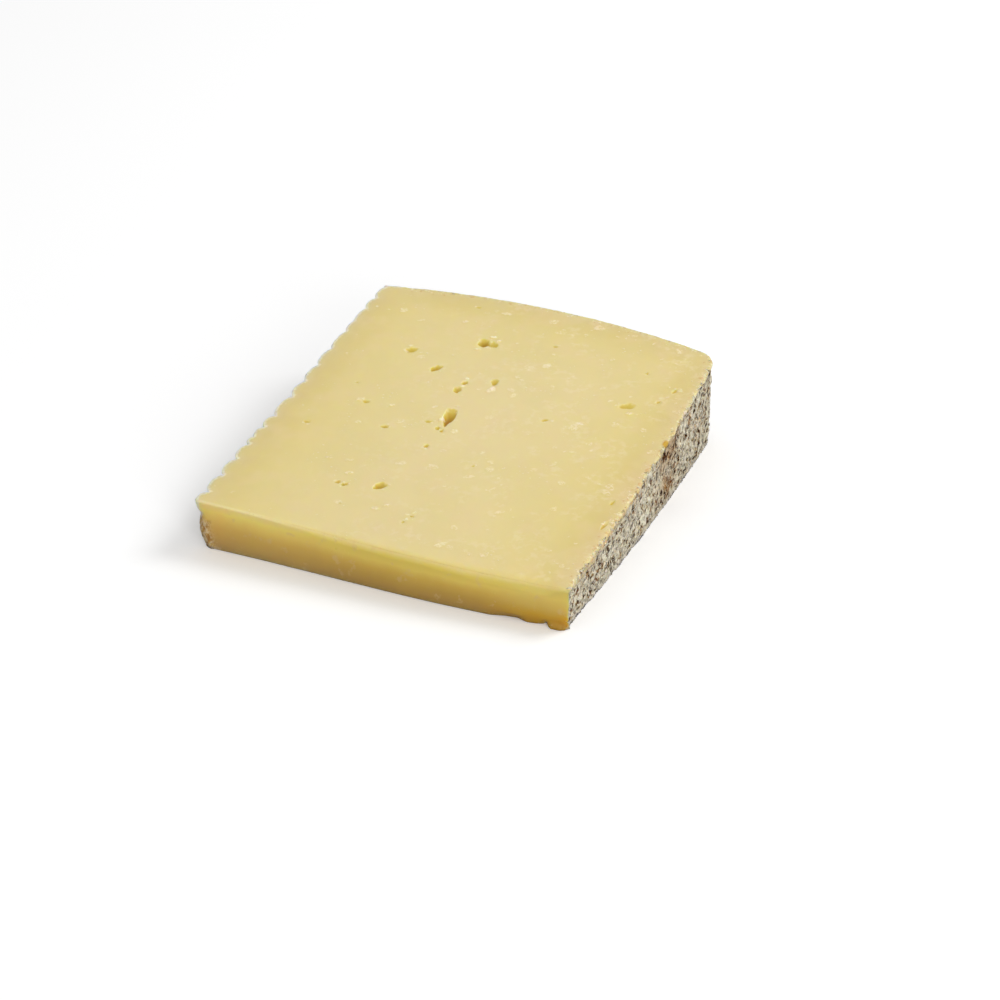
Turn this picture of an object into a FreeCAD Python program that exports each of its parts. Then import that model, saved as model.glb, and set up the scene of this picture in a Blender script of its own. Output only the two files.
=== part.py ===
"""Wedge of tomme cheese, lying on one of its two knife cuts.

A tomme is a low wheel.  This portion is a thin slice of one, cut by two planes that meet near the wheel's
centre, with the point of the slice cut off square.  It lies on one cut, so the other cut is its sloping top.
The square cut bows out a little between its two ends, as the knife left it.

Frame: +Z up, the lower cut on Z = 0, +Y from the square cut at the point to the wheel's rim, +X to the
wheel's smooth flat face; the ridged flat face is at -X.  The origin is the centre of the footprint.
Units are millimetres and degrees.
"""

import FreeCAD, Part
import math
import os

import Sketcher
from FreeCAD import Vector

NODE = "tomme_wedge"

# Driving dimensions: alias, value, meaning.
SIZES = [
    ("portion_width", 118.2, "between the wheel's two flat faces"),
    ("portion_length", 133.8, "from the square cut's ends to the crown of the rim, along the lower cut"),
    ("cut_bow", 2.5, "how far the square cut bows out between its ends"),
    ("point_cut", 109.7, "from the wheel's centre line to the square cut's ends, at mid width"),
    ("wedge_angle", 7.33, "between the two knife cuts"),
    ("cut_skew", 8.95, "how far the line where the cuts meet turns from the wheel's axis"),
    ("trim_stock", 4.0, "cheese that the square cut takes off ahead of it"),
    ("rim_radius", 250.0, "curve of the bulging rim, seen along the cuts"),
    ("crown_offset", 9.5, "from mid width to the rim's crown, towards the ridged face"),
    ("rim_corner", 9.0, "round between the rim and the smooth face"),
    ("face_radius", 1200.0, "slow outward bow of the smooth face"),
    ("ridge_pitch", 8.4, "mean width of the ridges that the draining mat pressed into one face"),
    ("ridge_depth", 2.0, "height of those ridges over the valleys between them"),
    ("furrow_pitch", 11.6, "mean distance between the furrows that cross the ridges"),
    ("furrow_depth", 1.4, "depth of those furrows"),
    ("edge_softness", 0.6, "round on the upper edge of the square cut"),
    ("nick_radius", 1.7, "crumb missing from the lower edge of the square cut"),
    ("nick_inset", 7.4, "from the smooth face's end to that missing crumb"),
]

# Larger eyes that the upper cut opened: their places across from the ridged face and back from the square
# cut, as shares of the portion, then length, width, depth and the turn of the length from +X.
EYE_COLUMNS = ("across", "back", "length", "width", "depth", "turn")
EYES = {
    "long": (0.437, 0.480, 11.0, 3.3, 3.0, 103.0),
    "three_cornered": (0.387, 0.787, 6.2, 5.0, 3.2, 20.0),
    "rear_left": (0.215, 0.704, 4.2, 2.6, 1.0, 40.0),
    "mid_left": (0.310, 0.648, 4.2, 2.7, 1.9, 75.0),
    "centre": (0.401, 0.580, 3.5, 2.6, 1.4, 125.0),
    "centre_small": (0.412, 0.614, 2.4, 1.7, 1.2, 65.0),
    "centre_right": (0.485, 0.637, 3.3, 2.4, 1.4, 100.0),
    "front": (0.399, 0.186, 3.2, 2.6, 2.0, 20.0),
    "front_left": (0.308, 0.165, 3.6, 2.4, 0.9, 15.0),
    "rear_right": (0.843, 0.648, 3.8, 2.4, 0.8, 30.0),
}
EYE_SINK = 0.3         # an eye's widest section below the cut, as a share of its depth
CREST_TRIM = 0.2       # what the furrows' bulges shave off the ridge crests
RIDGE_SPREAD = 0.30    # how much wider or narrower than the mean a ridge may be
RIDGE_PHASE = 0.7      # sets which ridges are the wide ones
VALLEY_SPREAD = 0.30   # how much deeper or shallower than the mean a valley may be
VALLEY_PHASE = 2.1     # sets which valleys are the deep ones
FURROW_SPREAD = 0.07   # how far a furrow strays from its even place, as a share of the pitch
FURROW_PHASE = 1.3     # sets which way each furrow strays
FURROW_DROP = 0.02     # the lowest furrow below the lower cut, as a share of the pitch
FEWEST_RIDGES = 3
WASTE_REACH = 3.0      # how far the square cut's waste reaches ahead of it, in trim stocks
LEAST_CUT = 0.001      # share of the volume that a cut must take, unless it leaves a face of its own


class Sizes:
    """The sheet's values by alias, as plain numbers."""

    def __init__(self, sheet):
        for alias, _, _ in SIZES:
            setattr(self, alias, float(sheet.get(alias)))


def make_sizes_sheet(doc):
    """The spreadsheet of driving dimensions, one a row with its alias."""
    sheet = doc.addObject("Spreadsheet::Sheet", "sizes")
    for row, (alias, value, meaning) in enumerate(SIZES, start=1):
        sheet.set(f"A{row}", meaning)
        sheet.set(f"B{row}", str(value))
        sheet.setAlias(f"B{row}", alias)
    doc.recompute()
    return Sizes(sheet)


def make_eyes_sheet(doc):
    """The spreadsheet of the larger eyes, one a row, each cell with an alias such as long_width."""
    sheet = doc.addObject("Spreadsheet::Sheet", "eyes")
    for row, (name, values) in enumerate(EYES.items(), start=1):
        sheet.set(f"A{row}", name)
        for letter, column, value in zip("BCDEFG", EYE_COLUMNS, values):
            sheet.set(f"{letter}{row}", str(value))
            sheet.setAlias(f"{letter}{row}", f"{name}_{column}")
    doc.recompute()


def origin_plane(body, role):
    """One of the body's own origin planes, found by its role."""
    return next(plane for plane in body.Origin.OriginFeatures if plane.Role == role)


def new_sketch(body, name, role):
    """An empty sketch flat on one of the body's origin planes."""
    sketch = body.newObject("Sketcher::SketchObject", name)
    sketch.AttachmentSupport = [(origin_plane(body, role), "")]
    sketch.MapMode = "FlatFace"
    return sketch


def bind(sketch, kind, where, value, formula):
    """Add a dimension of the given kind and tie it to the sheet by its formula."""
    index = sketch.addConstraint(Sketcher.Constraint(kind, *where, value))
    sketch.setExpression(f"Constraints[{index}]", formula)


def place_point(sketch, where, point, formula_x, formula_y):
    """Tie a sketch point to the sheet by its distances from the origin, of either sign."""
    origin = (-1, 1)
    bind(sketch, "DistanceX", (*origin, *where), point.x, formula_x)
    bind(sketch, "DistanceY", (*origin, *where), point.y, formula_y)


def unevenness(index, phase):
    """A repeatable number from -1 to 1 that wanders with the index, as hand-made cheese does."""
    return 0.6 * math.sin(2.4 * index + phase) + 0.4 * math.sin(5.1 * index + 2.0 * phase)


def uneven_borders(count, spread, phase):
    """Borders of `count` steps from 0 to 1, each step up to `spread` wider or narrower than the mean."""
    widths = [1.0 + spread * unevenness(index, phase) for index in range(count)]
    return [sum(widths[:index]) / sum(widths) for index in range(count + 1)]


def circles_meet(centre_a, reach_a, centre_b, reach_b):
    """The point at reach_a from one centre and reach_b from the other, left of the way from a to b."""
    between = centre_b - centre_a
    along = (reach_a ** 2 - reach_b ** 2 + between.Length ** 2) / (2.0 * between.Length)
    aside = math.sqrt(reach_a ** 2 - along ** 2)
    forward = between.normalize()
    return centre_a + forward * along + Vector(-forward.y, forward.x, 0) * aside


def arc_about(centre, start, end):
    """The arc round a centre from start to end, counterclockwise."""
    angles = [math.atan2(point.y - centre.y, point.x - centre.x) for point in (start, end)]
    circle = Part.Circle(centre, Vector(0, 0, 1), (start - centre).Length)
    return Part.ArcOfCircle(circle, *angles)


def draw_section(body, sizes):
    """The wheel's section, its square end to be cut off, with the line that the knife cuts turn about."""
    sketch = new_sketch(body, "wheel_section", "XY_Plane")
    half_width = sizes.portion_width / 2.0
    valley_x = sizes.ridge_depth - half_width
    face_centre = Vector(half_width - sizes.face_radius, sizes.portion_length / 2.0, 0)
    rim_centre = Vector(-sizes.crown_offset, sizes.portion_length - sizes.rim_radius, 0)
    corner_centre = circles_meet(face_centre, sizes.face_radius - sizes.rim_corner,
                                 rim_centre, sizes.rim_radius - sizes.rim_corner)

    wall_foot = Vector(valley_x, -sizes.trim_stock, 0)
    face_reach = math.sqrt(sizes.face_radius ** 2 - (sizes.trim_stock + face_centre.y) ** 2)
    face_foot = Vector(face_centre.x + face_reach, -sizes.trim_stock, 0)
    face_end = corner_centre + (corner_centre - face_centre).normalize() * sizes.rim_corner
    rim_start = corner_centre + (corner_centre - rim_centre).normalize() * sizes.rim_corner
    rim_reach = math.sqrt(sizes.rim_radius ** 2 - (valley_x - rim_centre.x) ** 2)
    rim_end = Vector(valley_x, rim_centre.y + rim_reach, 0)

    front = sketch.addGeometry(Part.LineSegment(wall_foot, face_foot), False)
    face = sketch.addGeometry(arc_about(face_centre, face_foot, face_end), False)
    corner = sketch.addGeometry(arc_about(corner_centre, face_end, rim_start), False)
    rim = sketch.addGeometry(arc_about(rim_centre, rim_start, rim_end), False)
    sketch.addConstraint([
        Sketcher.Constraint("Horizontal", front),
        Sketcher.Constraint("Coincident", front, 2, face, 1),
        Sketcher.Constraint("Tangent", face, 2, corner, 1),
        Sketcher.Constraint("Tangent", corner, 2, rim, 1),
    ])
    place_point(sketch, (front, 1), wall_foot, valley_formula(1.0), "-sizes.trim_stock")
    bind(sketch, "Radius", (face,), sizes.face_radius, "sizes.face_radius")
    place_point(sketch, (face, 3), face_centre,
                "sizes.portion_width / 2 - sizes.face_radius", "sizes.portion_length / 2")
    bind(sketch, "Radius", (corner,), sizes.rim_corner, "sizes.rim_corner")
    bind(sketch, "Radius", (rim,), sizes.rim_radius, "sizes.rim_radius")
    place_point(sketch, (rim, 3), rim_centre,
                "-sizes.crown_offset", "sizes.portion_length - sizes.rim_radius")
    bind(sketch, "DistanceX", (-1, 1, rim, 2), rim_end.x, valley_formula(1.0))
    add_ridges(sketch, sizes, rim, front, rim_end.y)

    centre = Vector(0, -sizes.point_cut, 0)
    skew_rise = half_width * math.tan(math.radians(sizes.cut_skew))
    axis = sketch.addGeometry(Part.LineSegment(centre, centre + Vector(half_width, skew_rise, 0)), True)
    place_point(sketch, (axis, 1), centre, "0", "-sizes.point_cut")
    place_point(sketch, (axis, 2), centre + Vector(half_width, skew_rise, 0), "sizes.portion_width / 2",
                "sizes.portion_width / 2 * tan(sizes.cut_skew * 1 deg) - sizes.point_cut")
    return sketch


def valley_formula(depth_share):
    """Formula for the X of a valley in the ridged face, by its share of the mean ridge depth."""
    return f"sizes.ridge_depth * {depth_share:.5f} - sizes.portion_width / 2"


def add_bulges(sketch, joint, corners, rises):
    """A chain of arcs that bulge to -X, from the sketch point `joint` down through the corners.

    A corner is its point and the formulas of its X and Y; a rise is how far its arc stands out and the
    formula of that.  The last corner is left free, to be joined to what follows the chain.
    """
    for (start, _, start_y), (end, end_x, end_y), (rise, rise_formula) in zip(corners, corners[1:], rises):
        radius = ((start.y - end.y) ** 2 / 4.0 + rise ** 2) / (2.0 * rise)
        centre = (start + end) * 0.5 + Vector(radius - rise, 0, 0)
        bulge = sketch.addGeometry(arc_about(centre, start, end), False)
        sketch.addConstraint(Sketcher.Constraint("Coincident", *joint, bulge, 1))
        joint = (bulge, 2)
        if end is not corners[-1][0]:
            place_point(sketch, joint, end, end_x, end_y)
        bind(sketch, "Radius", (bulge,), radius,
             f"((({start_y}) - ({end_y})) ^ 2 / 4 + ({rise_formula}) ^ 2) / (2 * ({rise_formula}))")
    return joint


def add_ridges(sketch, sizes, rim, front, rim_end_y):
    """Ridges side by side down the ridged face, from the rim to the square cut, with sharp valleys."""
    wall_length = rim_end_y + sizes.trim_stock
    wall_formula = ("(sizes.trim_stock + sizes.portion_length - sizes.rim_radius + sqrt(sizes.rim_radius ^ 2"
                    " - (sizes.portion_width / 2 - sizes.ridge_depth - sizes.crown_offset) ^ 2))")
    count = max(FEWEST_RIDGES, round(wall_length / sizes.ridge_pitch))
    shares = uneven_borders(count, RIDGE_SPREAD, RIDGE_PHASE)[::-1]
    depths = [1.0 + VALLEY_SPREAD * unevenness(index, VALLEY_PHASE) for index in range(count + 1)]
    depths[0] = depths[-1] = 1.0

    corners = [(Vector(sizes.ridge_depth * depth - sizes.portion_width / 2.0,
                       wall_length * share - sizes.trim_stock, 0),
                valley_formula(depth), f"{wall_formula} * {share:.5f} - sizes.trim_stock")
               for share, depth in zip(shares, depths)]
    means = [(before + after) / 2.0 for before, after in zip(depths, depths[1:])]
    rises = [(sizes.ridge_depth * mean, f"sizes.ridge_depth * {mean:.5f}") for mean in means]
    joint = add_bulges(sketch, (rim, 2), corners, rises)
    sketch.addConstraint(Sketcher.Constraint("Coincident", *joint, front, 1))


def turn_section(body, section):
    """The slice between both knife cuts: the section turned about the line where the cuts meet."""
    slice_ = body.newObject("PartDesign::Revolution", "slice")
    slice_.Profile = section
    slice_.ReferenceAxis = (section, ["Axis0"])
    slice_.setExpression("Angle", "sizes.wedge_angle")
    return slice_


def pocket_through(body, name, sketch):
    """Cut the sketch's outline right through the body, both ways from the sketch."""
    pocket = body.newObject("PartDesign::Pocket", name)
    pocket.Profile = sketch
    pocket.Type = "ThroughAll"
    pocket.Midplane = True
    return pocket


def bow_radius(sizes):
    """Radius of the square cut's bow and the formula of that."""
    radius = sizes.portion_width ** 2 / (8.0 * sizes.cut_bow) + sizes.cut_bow / 2.0
    return radius, "sizes.portion_width ^ 2 / (8 * sizes.cut_bow) + sizes.cut_bow / 2"


def cut_point_square(body, sizes):
    """Take the stock ahead of the square cut off, along the cut's bow, whose ends lie on Y = 0."""
    sketch = new_sketch(body, "point_waste", "XY_Plane")
    ahead = -WASTE_REACH * sizes.trim_stock
    ahead_formula = f"-{WASTE_REACH} * sizes.trim_stock"
    half_width = sizes.portion_width / 2.0
    radius, radius_formula = bow_radius(sizes)
    centre = Vector(0, radius - sizes.cut_bow, 0)
    corners = [(Vector(-half_width, 0, 0), "-sizes.portion_width / 2", "0"),
               (Vector(-sizes.portion_width, 0, 0), "-sizes.portion_width", "0"),
               (Vector(-sizes.portion_width, ahead, 0), "-sizes.portion_width", ahead_formula),
               (Vector(sizes.portion_width, ahead, 0), "sizes.portion_width", ahead_formula),
               (Vector(sizes.portion_width, 0, 0), "sizes.portion_width", "0"),
               (Vector(half_width, 0, 0), "sizes.portion_width / 2", "0")]
    sides = [sketch.addGeometry(Part.LineSegment(start[0], end[0]), False)
             for start, end in zip(corners, corners[1:])]
    for side, following in zip(sides, sides[1:]):
        sketch.addConstraint(Sketcher.Constraint("Coincident", side, 2, following, 1))
    for side, corner in zip(sides, corners):
        place_point(sketch, (side, 1), *corner)
    place_point(sketch, (sides[-1], 2), *corners[-1])
    bow = sketch.addGeometry(arc_about(centre, corners[0][0], corners[-1][0]), False)
    sketch.addConstraint(Sketcher.Constraint("Coincident", sides[0], 1, bow, 1))
    sketch.addConstraint(Sketcher.Constraint("Coincident", sides[-1], 2, bow, 2))
    bind(sketch, "Radius", (bow,), radius, radius_formula)
    return pocket_through(body, "square_cut", sketch)


def soften_edge(body, base, sizes):
    """Round the upper edge of the square cut, which the knife leaves soft."""
    names = [f"Edge{number}" for number, edge in enumerate(base.Shape.Edges, start=1)
             if edge.CenterOfMass.y < 0.0 and edge.CenterOfMass.z > sizes.ridge_depth
             and edge.Length > sizes.portion_width / 2.0]
    fillet = body.newObject("PartDesign::Fillet", "soft_edge")
    fillet.Base = (base, names)
    fillet.setExpression("Radius", "sizes.edge_softness")
    return fillet


def cut_furrows(body, sizes):
    """Furrows across the ridges: what lies outside a chain of bulges up the ridged face is cut away."""
    sketch = new_sketch(body, "furrow_waste", "XZ_Plane")
    slope = math.tan(math.radians(sizes.wedge_angle))
    top = slope * (sizes.point_cut + sizes.portion_length + sizes.portion_width)
    count = math.ceil(top / sizes.furrow_pitch) + 1
    places = [index + FURROW_SPREAD * unevenness(index, FURROW_PHASE) for index in range(count, 0, -1)]
    places.append(-FURROW_DROP)
    valley = (sizes.furrow_depth + CREST_TRIM - sizes.portion_width / 2.0,
              f"sizes.furrow_depth + {CREST_TRIM} - sizes.portion_width / 2")
    beyond = (-sizes.portion_width / 2.0 - sizes.ridge_depth, "-sizes.portion_width / 2 - sizes.ridge_depth")

    def corner(across, place):
        """A corner of the waste: its point and the formulas of that."""
        return (Vector(across[0], sizes.furrow_pitch * place, 0),
                across[1], f"sizes.furrow_pitch * {place:.5f}")

    outside = [corner(valley, places[-1]), corner(beyond, places[-1]),
               corner(beyond, places[0]), corner(valley, places[0])]
    sides = [sketch.addGeometry(Part.LineSegment(start[0], end[0]), False)
             for start, end in zip(outside, outside[1:])]
    place_point(sketch, (sides[0], 1), *outside[0])
    for side, (point, formula_x, formula_y) in zip(sides, outside[1:]):
        place_point(sketch, (side, 2), point, formula_x, formula_y)
    for side, following in zip(sides, sides[1:]):
        sketch.addConstraint(Sketcher.Constraint("Coincident", side, 2, following, 1))

    rises = [(sizes.furrow_depth, "sizes.furrow_depth")] * count
    joint = add_bulges(sketch, (sides[-1], 2), [corner(valley, place) for place in places], rises)
    sketch.addConstraint(Sketcher.Constraint("Coincident", *joint, sides[0], 1))
    return pocket_through(body, "furrows", sketch)


def open_eye(body, name):
    """One gas eye that the upper cut opened, its widest section a little below the cut."""
    eye = body.newObject("PartDesign::SubtractiveEllipsoid", f"eye_{name}")
    eye.AttachmentSupport = [(origin_plane(body, "XY_Plane"), "")]
    eye.MapMode = "FlatFace"
    turn = EYES[name][EYE_COLUMNS.index("turn")]
    eye.AttachmentOffset = FreeCAD.Placement(Vector(0, 0, 0), FreeCAD.Rotation(Vector(0, 0, 1), turn))
    across = f"(eyes.{name}_across - 0.5) * sizes.portion_width"
    back = f"eyes.{name}_back * sizes.portion_length"
    skew = "sizes.cut_skew * 1 deg"
    cut_height = (f"tan(sizes.wedge_angle * 1 deg) * ((sizes.point_cut + {back}) * cos({skew})"
                  f" - {across} * sin({skew}))")
    eye.setExpression("AttachmentOffset.Base.x", across)
    eye.setExpression("AttachmentOffset.Base.y", back)
    eye.setExpression("AttachmentOffset.Base.z", f"{cut_height} - {EYE_SINK} * eyes.{name}_depth")
    eye.setExpression("AttachmentOffset.Rotation.Angle", f"eyes.{name}_turn")
    eye.setExpression("Radius1", f"eyes.{name}_depth * {1.0 - EYE_SINK:.2f}")
    eye.setExpression("Radius2", f"eyes.{name}_length / 2")
    eye.setExpression("Radius3", f"eyes.{name}_width / 2")
    return eye


def break_nick(body, sizes):
    """The crumb that broke out of the lower edge of the square cut, where that lies on the cut's bow."""
    nick = body.newObject("PartDesign::SubtractiveSphere", "nick")
    nick.AttachmentSupport = [(origin_plane(body, "XY_Plane"), "")]
    nick.MapMode = "FlatFace"
    across = "(sizes.portion_width / 2 - sizes.nick_inset)"
    radius_formula = f"({bow_radius(sizes)[1]})"
    nick.setExpression("AttachmentOffset.Base.x", across)
    nick.setExpression("AttachmentOffset.Base.y",
                       f"{radius_formula} - sizes.cut_bow - sqrt({radius_formula} ^ 2 - {across} ^ 2)")
    nick.setExpression("Radius", "sizes.nick_radius")
    return nick


def require_sound(doc):
    """Stop if any object failed to compute or holds an unusable shape."""
    for item in doc.Objects:
        if {"Invalid", "Error"} & set(item.State):
            raise RuntimeError(f"{item.Name} failed: {item.State}")
    body = doc.getObject(NODE)
    if body.Shape.isNull() or not body.Shape.isValid() or len(body.Shape.Solids) != 1:
        raise RuntimeError(f"{NODE} is not one sound solid")


def require_cut(before, after):
    """Stop if a feature that should take cheese away left the solid as it was."""
    taken = before.Shape.Volume - after.Shape.Volume
    new_faces = len(after.Shape.Faces) - len(before.Shape.Faces)
    if taken < LEAST_CUT * before.Shape.Volume and new_faces < 1:
        raise RuntimeError(f"{after.Name} cut nothing")


def centre_footprint(body):
    """Shift the body so that the origin is the centre of its bounding box, at the bottom."""
    box = body.Shape.optimalBoundingBox()
    body.Placement = FreeCAD.Placement(Vector(-box.Center.x, -box.Center.y, -box.ZMin), FreeCAD.Rotation())


def main():
    doc = FreeCAD.newDocument("tomme")
    sizes = make_sizes_sheet(doc)
    make_eyes_sheet(doc)
    body = doc.addObject("PartDesign::Body", NODE)
    body.Label = NODE

    features = [turn_section(body, draw_section(body, sizes))]
    features.append(cut_point_square(body, sizes))
    doc.recompute()
    features.append(soften_edge(body, features[-1], sizes))
    features.append(cut_furrows(body, sizes))
    features.append(break_nick(body, sizes))
    features.extend(open_eye(body, name) for name in EYES)
    doc.recompute()
    for before, after in zip(features, features[1:]):
        require_cut(before, after)
    centre_footprint(body)
    doc.recompute()
    require_sound(doc)

    os.makedirs("parts", exist_ok=True)
    body.Shape.exportStep(f"parts/{body.Label}.step")
    print(NODE, body.Shape.BoundBox, f"volume {body.Shape.Volume:.0f} mm3")


main()
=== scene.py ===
"""Looks of a wedge of tomme cheese: pale paste with small eyes, soft cut edges and a mottled grey rind.

The wedge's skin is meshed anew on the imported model: a ring of columns round its upright sides and a
triangulated cap on each knife cut.  Lengths are millimetres in the frame's own axes until the mesh is made.
"""

import math

import bpy
import numpy as np
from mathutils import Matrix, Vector, noise
from mathutils.bvhtree import BVHTree
from mathutils.geometry import delaunay_2d_cdt
from mathutils.kdtree import KDTree


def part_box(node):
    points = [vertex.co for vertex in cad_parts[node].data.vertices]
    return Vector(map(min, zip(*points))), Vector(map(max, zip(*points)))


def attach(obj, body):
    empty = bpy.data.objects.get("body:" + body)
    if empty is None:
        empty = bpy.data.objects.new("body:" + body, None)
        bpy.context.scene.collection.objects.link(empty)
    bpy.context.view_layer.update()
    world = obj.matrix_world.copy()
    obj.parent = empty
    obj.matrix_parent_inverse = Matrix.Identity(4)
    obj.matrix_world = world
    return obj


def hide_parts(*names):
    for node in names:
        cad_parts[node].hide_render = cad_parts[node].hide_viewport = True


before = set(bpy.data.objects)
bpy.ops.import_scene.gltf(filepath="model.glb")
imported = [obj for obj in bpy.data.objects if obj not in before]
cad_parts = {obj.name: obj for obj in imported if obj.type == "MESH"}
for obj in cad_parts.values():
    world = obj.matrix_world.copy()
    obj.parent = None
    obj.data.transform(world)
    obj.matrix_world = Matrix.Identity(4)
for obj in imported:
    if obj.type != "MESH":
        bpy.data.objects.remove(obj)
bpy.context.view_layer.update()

NODE = "tomme_wedge"
MM = 0.001
SEED = 7
rng = np.random.default_rng(SEED)

low, high = (np.array(corner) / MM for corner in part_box(NODE))
WIDTH, LENGTH, _ = high - low

# -------------------- Sizes of the shape's details, in millimetres.

# Ridges of the draining mat from the square cut to the rim: the width of each, and the valley after it.
RIDGES = ((5.0, 2.2), (9.0, 2.2), (8.5, 2.1), (8.0, 1.9), (4.0, 1.0), (5.5, 1.8), (6.5, 1.7), (11.5, 1.8),
          (8.5, 1.6), (9.5, 1.4), (10.0, 1.1), (11.0, 1.2), (6.0, 0.7), (8.5, 1.2), (7.0, 1.6), (7.5, 1.9))
FIRST_VALLEY = 0.6      # before the first ridge
FURROW_PITCH = 11.6     # of the furrows that cross the ridges
FURROW_DEPTHS = (2.0, 1.3, 0.5, 0.5)    # from the lower cut up
RIDGE_CORNER = 1.3      # round where the ridged face meets the rim
VALLEYS = 2.8           # rays along the ridged face pass this far behind its crests
RIM_CORNER = 9.0        # round where the smooth face meets the rim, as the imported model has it
END_BOW = 2.5           # how far the square cut's left end lies behind its foremost point
RIGHT_BOW = 1.3         # and its right end
BOW_SKEW = 1.7          # puts the foremost point right of the middle

# The worn lower edge of the square cut near its right end: how far left of that end, and how far back.
WORN_EDGE = ((23.0, 0.0), (19.0, 1.0), (15.5, 1.2), (12.4, -0.1), (11.0, 0.0), (9.6, 0.2), (8.4, 0.5),
             (7.7, 0.8), (7.3, 1.8), (6.8, 0.9), (5.9, -0.5), (4.9, -1.3), (2.6, -1.3), (1.2, -0.6),
             (0.5, 0.5), (0.0, 1.9))
WORN_HEIGHT = 2.2
WORN_REACH = 4.5        # how far in from the square cut the worn edge moves the lower cut

# Rounds of the edges.
LEFT_RADIUS = 0.45      # the square cut's upper edge at its left end,
MIDDLE_GAIN = 2.0       # what the radius gains towards the middle
RIGHT_GAIN = 1.0        # and again towards the right end,
RADIUS_SWING = 0.45     # what it varies by on the way,
CORNER_LOSS = 0.75      # and the share that it loses at the right corner
LOW_RADIUS = 0.35       # where the upright sides meet the lower cut
LEFT_END_GAIN = 2.6     # the square cut's left end, below its sharp top
SHARP_TOP = (10.0, 12.5)        # the heights between which that end gets sharp

# The crust at the square cut's left end fades between these widths and these heights.
CRUST_WIDTHS = (1.5, 8.5)
CRUST_HEIGHTS = (7.5, 11.5)

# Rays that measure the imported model.
HAIR = 0.05             # what keeps a ray clear of the cuts
CAST_BACK = 3.0         # how far inside the side the last ray starts
CLEAR_OF_CUT = 6.0      # rays along the square cut pass this far behind its foremost point

# The mesh: steps along the rind and the square cut, and rows from the lower cut to the upper one.
COLUMN_STEP = 0.43
FRONT_STEP = 0.62
ROWS = 54
INSIDE = 0.001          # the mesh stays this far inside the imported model's box
EDGE_STEPS = (0.0, 0.2, 0.5)    # rows next to each cut, by distance from it
TOP_BANDS = ((0.42, 0.0), (0.8, 1.3), (1.25, 3.2))      # a cap's steps, and how far in each starts
BOTTOM_BANDS = ((0.6, 0.0), (1.4, 1.5), (3.0, 5.0))
PATCH_STEP = 0.27       # in the eyes and the large flakes
FLAKE_STEP = 0.33       # in the other flakes
LARGE_PATCH = 1.1       # half the length from which a patch gets the finer step
PATCH_MARGIN = 1.35     # how far round a patch its fine step goes, in its own radii

# Openings in the upper cut: their places across from the ridged face and back from the square cut's ends,
# as shares of the portion, then length, width and depth, the turn of the length from +X in degrees, and how
# much the far end is wider than the near one, where it is.
EYES = (
    (0.439, 0.476, 10.0, 3.5, 1.9, 101, 0.35),
    (0.385, 0.787, 4.4, 4.2, 2.1, 110, 0.1),
    (0.411, 0.788, 3.2, 3.6, 0.8, 70),
    (0.217, 0.702, 4.2, 3.0, 0.8, 50),
    (0.315, 0.650, 4.2, 2.8, 1.3, 60, 0.1),
    (0.408, 0.584, 3.4, 2.6, 0.9, 115, 0.2),
    (0.414, 0.616, 2.4, 1.7, 0.9, 65),
    (0.485, 0.642, 3.6, 2.4, 0.9, 100, 0.3),
    (0.402, 0.185, 4.2, 3.2, 1.3, 40, 0.1),
    (0.298, 0.168, 1.8, 1.5, 0.8, 15, 0.1),
    (0.317, 0.165, 2.2, 1.6, 0.8, 45, 0.1),
    (0.845, 0.653, 5.0, 3.4, 0.5, 25, 0.1),
    (0.438, 0.355, 1.9, 1.4, 0.8, 80),
    (0.342, 0.098, 0.9, 0.7, 0.6, 10),
    (0.527, 0.109, 1.2, 0.9, 0.8, 10),
    (0.516, 0.085, 1.3, 0.8, 0.5, 70),
    (0.304, 0.394, 2.6, 1.5, 0.7, 30),
    (0.210, 0.470, 2.8, 1.7, 0.4, 10),
    (0.108, 0.352, 2.2, 1.6, 0.4, 0),
    (0.149, 0.534, 1.0, 0.8, 0.7, 20),
    (0.432, 0.428, 2.0, 1.6, 0.6, 120),
    (0.445, 0.423, 1.6, 1.1, 0.5, 60),
    (0.398, 0.445, 2.4, 1.6, 0.3, 20),
    (0.672, 0.538, 2.2, 1.3, 0.6, 30),
    (0.582, 0.321, 1.3, 0.9, 0.5, 40),
    (0.840, 0.795, 1.6, 1.0, 0.5, 60),
    (0.570, 0.830, 1.8, 1.1, 0.4, 20),
    (0.300, 0.930, 2.2, 1.1, 0.4, 10),
    (0.970, 0.221, 5.2, 1.3, 0.5, 75),
    (0.955, 0.300, 2.6, 1.0, 0.4, 80),
    (0.935, 0.747, 2.8, 1.2, 0.5, 70),
    (0.912, 0.692, 2.2, 1.0, 0.4, 60),
)
EYE_WAVES = ((2, 0.07), (3, 0.06), (5, 0.05))   # waves round an eye's outline, and their height
NARROWEST = 0.3         # of an eye's narrow end, as a share of its width
NEAR_DEEPER = 0.5       # how much deeper the near side of an eye is
LIP = 0.06              # height of the slight lip round an eye

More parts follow.
